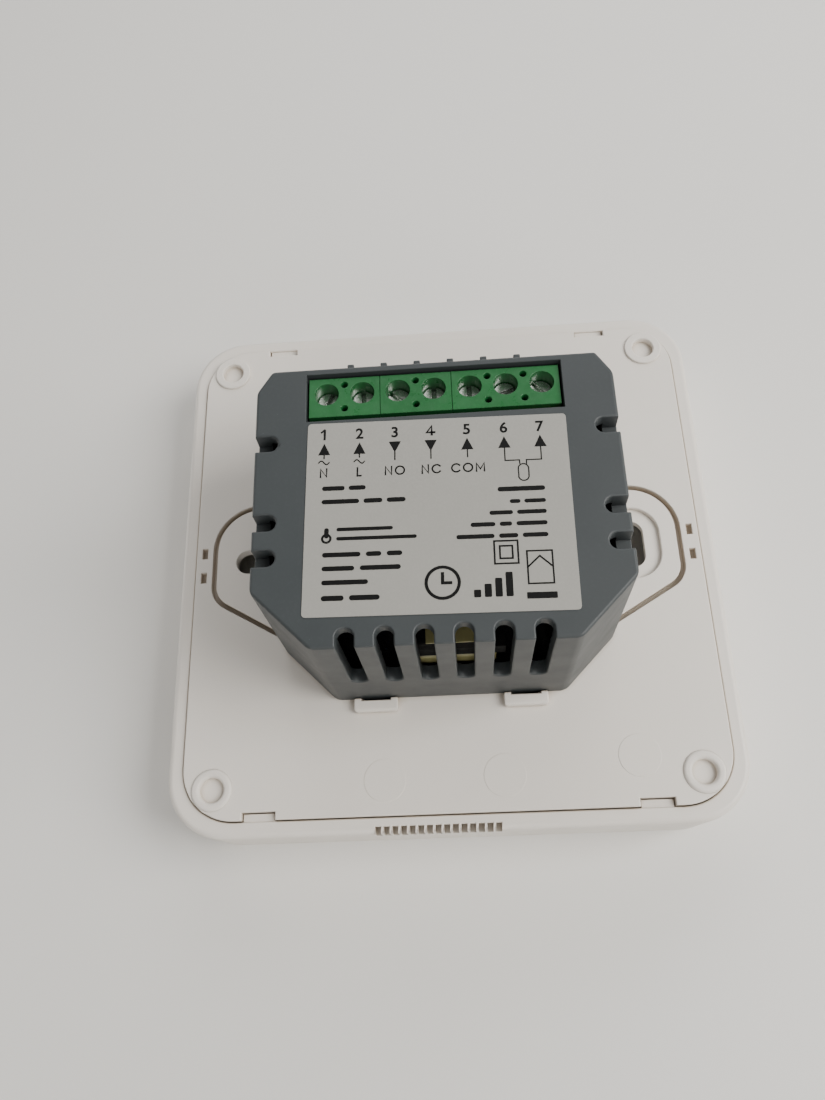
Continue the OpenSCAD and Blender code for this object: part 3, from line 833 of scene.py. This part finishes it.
def plain_lines(ink):
    """Plain bars, a thermometer and simple signs in place of the label's wording and marks."""
    # The gap between two words in letters, and a bar's reach and corners as shares of the height.
    space = 0.7
    below, above, corner = 0.30, 0.18, 0.24
    # Each line's start and end along u, its v, its height, and the number of letters in its words.
    lines = ((-15.35, -9.5, 4.05, 1.35, (4, 3)), (-15.35, -4.2, 2.1, 1.35, (6, 3, 3)),
             (-15.1, -4.7, -5.45, 1.35, (5, 2, 2)), (-15.1, -4.9, -7.35, 1.35, (4, 5)),
             (-15.1, -9.1, -9.25, 1.35, (6,)), (-15.1, -7.6, -11.35, 1.45, (3, 4)),
             (7.9, 14.1, 3.0, 1.4, (7,)), (9.4, 14.1, 1.2, 1.15, (2, 4)),
             (6.7, 14.1, -0.35, 1.2, (4, 5)), (4.2, 14.1, -1.95, 1.25, (4, 2, 5)),
             (2.3, 14.1, -3.6, 1.25, (6, 3, 4)))
    for u, end, v, tall, words in lines:
        step = (end - u) / (sum(words) + space * (len(words) - 1))
        for count in words:
            ink.bar(u, v - tall * below, u + count * step, v + tall * above, tall * corner)
            u += (count + space) * step

    # The thermometer and its two bars.
    ink.bar(-14.9, -3.2, -14.3, -1.75, 0.3)
    ink.ring(-14.6, -3.25, 0.55, 0.3)
    ink.bar(-13.3, -3.55, -2.8, -3.05, 0.25)
    ink.bar(-13.3, -2.25, -5.9, -1.75, 0.25)

    # The double square, the clock and the signal scale.
    for u0, v0, u1, v1 in ((7.1, -7.5, 10.1, -4.4), (7.8, -6.8, 9.4, -5.1)):
        ink.line(box_points(u0, v0, u1, v1), 0.24, True)
    ink.ring(0.4, -9.8, 2.1, 0.42)
    ink.line([(0.4, -8.6), (0.4, -9.85), (1.4, -9.85)], 0.42)
    apart, taller = 1.35, 0.75
    for k in range(4):
        ink.bar(4.3 + apart * k, -11.9, 5.2 + apart * k, -10.9 + taller * k, 0.15)

    # The house over a bar.
    ink.bar(10.9, -12.3, 14.7, -11.45, 0.1)
    ink.line(box_points(11.2, -10.3, 14.4, -5.9), 0.22, True)
    ink.line([(11.2, -8.1), (12.8, -6.6), (14.4, -8.1)], 0.22)


# ---------- terminals ----------


def make_block(m, letter):
    node = "terminal_block_" + letter
    face = high(node).y

    def radius(at, along, normals):
        return 0.07 if near(at.y, face) else 0.04

    bm = clean_copy(node)
    made = rounded("terminals_" + letter, bm, m["terminal_green"], radius, slide=False)
    stands_for(made, "base", node)


def make_screw(m, i):
    """The slotted head's top edges are rounded, its rim more than its slot."""
    node = f"terminal_screw_{i}"
    lo, hi = low(node), high(node)
    middle = (lo + hi) / 2
    rim = (hi.x - middle.x) * 0.97

    def radius(at, along, normals):
        if at.y < hi.y - 0.1:
            return 0
        return 0.12 if math.hypot(at.x - middle.x, at.z - middle.z) > rim else 0.06

    made = rounded(f"screw_{i}_body", clean_copy(node), m["terminal_steel"], radius)
    stands_for(made, f"screw_{i}", node)


def make_clamp(m, i):
    node = f"wire_clamp_{i}"
    top = high(node).y

    def radius(at, along, normals):
        return 0.12 if at.y > top - 0.05 else 0

    made = rounded(f"clamp_{i}_body", clean_copy(node), m["clamp_steel"], radius, 2, False)
    stands_for(made, f"clamp_{i}", node)


def make_terminals(m):
    for letter in "abc":
        make_block(m, letter)
    for i in range(1, POLES + 1):
        make_screw(m, i)
        make_clamp(m, i)


# ---------- parts inside the box ----------


def make_inside(m):
    for node, material, slot, r in (
            ("relay", "relay_blue", "relay", 0.5),
            ("film_capacitor", "capacitor_amber", "film_capacitor", 0.35),
            ("fuse", "fuse_brown", "fuse", 0.4),
            ("transformer_core", "ferrite", "ferrite", 0.35),
            ("transformer_bobbin", "bobbin_black", "chip", 0.08),
            ("transformer_tape", "winding_tape", "yellow_tape", 0.45),
            ("power_chips", "chip_black", "chip", 0.15),
            ("board_socket", "chip_black", "chip", 0.15),
            ("smoothing_capacitors", "sleeve_blue", "capacitor_sleeve", 0.45),
            ("varistor", "varistor_blue", "varistor", 0.5)):

        def radius(at, along, normals):
            lead = node == "varistor" and at.y < 9.7 and near(at.z, 5.6, 0.4)
            window = node == "transformer_tape" and at.y > 18
            return 0.1 if lead or window else r

        made = rounded(node + "_body", clean_copy(node), m[material], radius)
        stands_for(made, "base", node)
    paint("terminal_contacts", m["tinned_metal"])
    paint("power_board", m["board_dark"])
    paint("box_screws", m["screw_steel"])


# ---------- front ----------


def make_front(m):
    """The glass is set in a little, so that its signs stay inside the CAD part's box."""
    face, set_in = low("glass_panel").y, 0.03
    bm = clean_copy("glass_panel")
    for v in bm.verts:
        if v.co.y < (face + 0.1) * MM:
            v.co.y += set_in * MM
    glass = rounded("glass_front", bm, m["front_glass"], lambda *_: 0.3, 4)
    stands_for(glass, "front", "glass_panel")
    for node, material in (
            ("glass_tape", "foam_tape"), ("display_cell", "display_dark"),
            ("light_guide", "guide_clear"), ("control_board", "board_white"),
            ("control_screws", "screw_steel"), ("touch_springs", "spring_metal"),
            ("radio_board", "board_green"), ("air_sensor", "chip_black"),
            ("pin_header", "chip_black")):
        paint(node, m[material])
    for node, material, slot, r in (("processor_chip", "chip_black", "chip", 0.12),
                                    ("radio_shield", "shield_metal", "tinned_steel", 0.3)):
        made = rounded(node + "_body", clean_copy(node), m[material], lambda *_: r)
        stands_for(made, "front", node)
    marks = Print(0, 0, 0, face, face + 2 * set_in)
    key_signs(marks)
    detail(marks.done("glass_marks", m["glass_ink"]), "front", "black_glass")


def key_signs(marks):
    """Five rings, and in them the signs for power, less, the dial, more and the clock."""
    row, stroke = -26, 0.2
    power, less, dial, more, clock = (12 * k for k in range(-2, 3))
    for u in (power, less, dial, more, clock):
        marks.ring(u, row, 2.5, 0.22, steps=36)
    marks.ring(power, row, 1.05, stroke, 125, 415, 20)
    marks.bar(power - 0.1, row - 0.2, power + 0.1, row + 1.3)
    marks.bar(less - 1.1, row - 0.1, less + 1.1, row + 0.1)
    marks.ring(dial, row, 0.75, stroke, steps=20)
    plus = ((-0.1, -1.1), (0.1, -1.1), (0.1, -0.1), (1.1, -0.1), (1.1, 0.1), (0.1, 0.1), (0.1, 1.1),
            (-0.1, 1.1), (-0.1, 0.1), (-1.1, 0.1), (-1.1, -0.1), (-0.1, -0.1))
    marks.shape([(more + u, row + v) for u, v in plus])
    marks.ring(clock, row, 1.1, stroke, steps=24)
    marks.line([(clock, row + 0.7), (clock, row), (clock + 0.5, row)], 0.18)


# ---------- stage ----------


def one_sided(name, color, rough, fade=None):
    """A pale surface seen from one side only, so that the object can be looked at from the other.

    fade is the distances, in metres, at which it starts to thin out and is gone.
    """
    s = Surface(name, color, rough)
    s.vary(60, 0.02, 2).bump(s.noise(0.5, 3), 0.01)
    hidden = s.tree.nodes.new("ShaderNodeNewGeometry").outputs["Backfacing"]
    if fade:
        away = s.tree.nodes.new("ShaderNodeVectorMath")
        away.operation = "LENGTH"
        s.join(s.where, away.inputs[0])
        either = s.tree.nodes.new("ShaderNodeMath")
        either.operation = "MAXIMUM"
        s.join(hidden, either.inputs[0])
        s.join(s.spread(away.outputs["Value"], 0, 1, *fade), either.inputs[1])
        hidden = either.outputs[0]
    clear = s.tree.nodes.new("ShaderNodeBsdfTransparent")
    mix = s.tree.nodes.new("ShaderNodeMixShader")
    out = s.tree.nodes["Material Output"]
    s.join(hidden, mix.inputs[0])
    s.join(s.shader.outputs[0], mix.inputs[1])
    s.join(clear.outputs[0], mix.inputs[2])
    s.join(mix.outputs[0], out.inputs["Surface"])
    return s.material


def stage_piece(name, bm, material):
    made = add_object(name, bm, material)
    made.visible_shadow = False
    return made


def backdrop(name, corners, material):
    """A plane that is only seen, and sends no light back to the object."""
    bm = bmesh.new()
    bm.faces.new([bm.verts.new(Vector(c) * MM) for c in corners])
    made = stage_piece(name, bm, material)
    made.visible_diffuse = False
    made.visible_glossy = False


def make_stage():
    """A table with a hole in it for the front, a plane below it, and a floor for the side views."""
    pale, rough = (0.80, 0.785, 0.755), 0.55
    lo, hi = CAD_BOX[0] / MM, CAD_BOX[1] / MM
    y, far = lo.y - 0.05, 1500.0
    half, corner = hi.x - 0.6, 8.6
    table_white = one_sided("table_white", pale, rough)
    bm = bmesh.new()
    outer = box_points(-far, -far, far, far)
    inner = rounded_box_points(-half, -half, half, half, corner, 8)
    rings = [[bm.verts.new((x * MM, y * MM, z * MM)) for x, z in ring] for ring in (outer, inner)]
    edges = [bm.edges.new((r[i], r[(i + 1) % len(r)])) for r in rings for i in range(len(r))]
    bmesh.ops.triangle_fill(bm, use_beauty=True, use_dissolve=False, edges=edges)
    for f in bm.faces:
        f.normal_update()
        if f.normal.y < 0:
            f.normal_flip()
    stage_piece("table", bm, table_white)

    y = y - 46
    corners = ((-far, y, -far), (-far, y, far), (far, y, far), (far, y, -far))
    backdrop("table_below", corners, table_white)
    z = lo.z - 0.05
    corners = ((-far, -far, z), (far, -far, z), (far, far, z), (-far, far, z))
    backdrop("floor", corners, one_sided("floor_white", pale, rough, (0.16, 0.42)))


def softbox(name, place, aim, size, power, color):
    data = bpy.data.lights.new(name, "AREA")
    data.shape = "RECTANGLE"
    data.size, data.size_y = size
    data.energy = power
    data.color = color
    made = bpy.data.objects.new(name, data)
    bpy.context.scene.collection.objects.link(made)
    place, aim = Vector(place), Vector(aim)
    made.location = place
    made.rotation_mode = "QUATERNION"
    made.rotation_quaternion = (aim - place).to_track_quat("-Z", "Y")


def make_lights():
    """A room that is brighter to look at than it is as a light, and five softboxes."""
    world = bpy.data.worlds.new("studio")
    bpy.context.scene.world = world
    world.use_nodes = True
    tree = world.node_tree
    seen, lit = tree.nodes.new("ShaderNodeBackground"), tree.nodes["Background"]
    seen.inputs["Color"].default_value = (0.80, 0.795, 0.78, 1)
    seen.inputs["Strength"].default_value = 0.85
    lit.inputs["Color"].default_value = (1.0, 0.985, 0.955, 1)
    lit.inputs["Strength"].default_value = 0.29
    mix = tree.nodes.new("ShaderNodeMixShader")
    tree.links.new(tree.nodes.new("ShaderNodeLightPath").outputs["Is Camera Ray"], mix.inputs[0])
    tree.links.new(lit.outputs[0], mix.inputs[1])
    tree.links.new(seen.outputs[0], mix.inputs[2])
    tree.links.new(mix.outputs[0], tree.nodes["World Output"].inputs["Surface"])
    softbox("key", (-0.55, 0.55, -0.06), (0, 0, 0), (0.5, 0.5), 7.6, (1, 0.98, 0.94))
    softbox("near", (-0.05, 0.42, -0.62), (0, 0, 0), (0.7, 0.3), 1.6, (1, 0.985, 0.955))
    softbox("far", (-0.10, 0.42, 0.66), (0, 0, 0.05), (0.8, 0.3), 2.7, (0.98, 0.99, 1))
    softbox("front_key", (0.35, -0.75, 0.45), (0, 0, 0), (0.6, 0.6), 7.0, (1, 0.99, 0.97))
    softbox("side", (0.8, -0.1, 0.3), (0, 0, 0), (0.5, 0.5), 1.5, (1, 1, 1))


make_camera()
materials = make_materials()
make_housing(materials)
make_plate(materials)
make_box(materials)
make_label(materials)
make_terminals(materials)
make_inside(materials)
make_front(materials)
make_stage()
make_lights()
